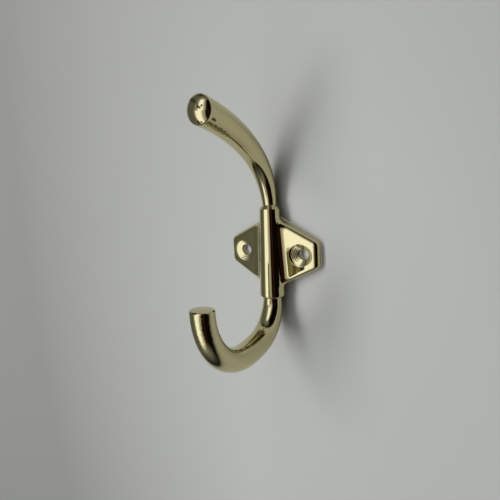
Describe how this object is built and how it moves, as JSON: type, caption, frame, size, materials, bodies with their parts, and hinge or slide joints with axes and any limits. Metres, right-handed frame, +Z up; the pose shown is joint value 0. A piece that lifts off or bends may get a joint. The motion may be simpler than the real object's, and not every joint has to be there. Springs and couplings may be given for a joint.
{
  "type": "wall hook",
  "caption": "Cast wall hook: a round upright bar between two ears with countersunk screw holes, a rising upper arm for hats and an upturned lower arm for coats.",
  "frame": {"origin": "on the flat back, midway between the two screw holes", "axes": "+Z up, +Y into the wall, so both arms reach toward -Y"},
  "size_m": [0.0368, 0.0501, 0.0914],
  "materials": {
    "plating": "polished pale brass plating on a zinc casting"
  },
  "bodies": {
    "root": {"hook": "plating"}
  },
  "joints": []
}
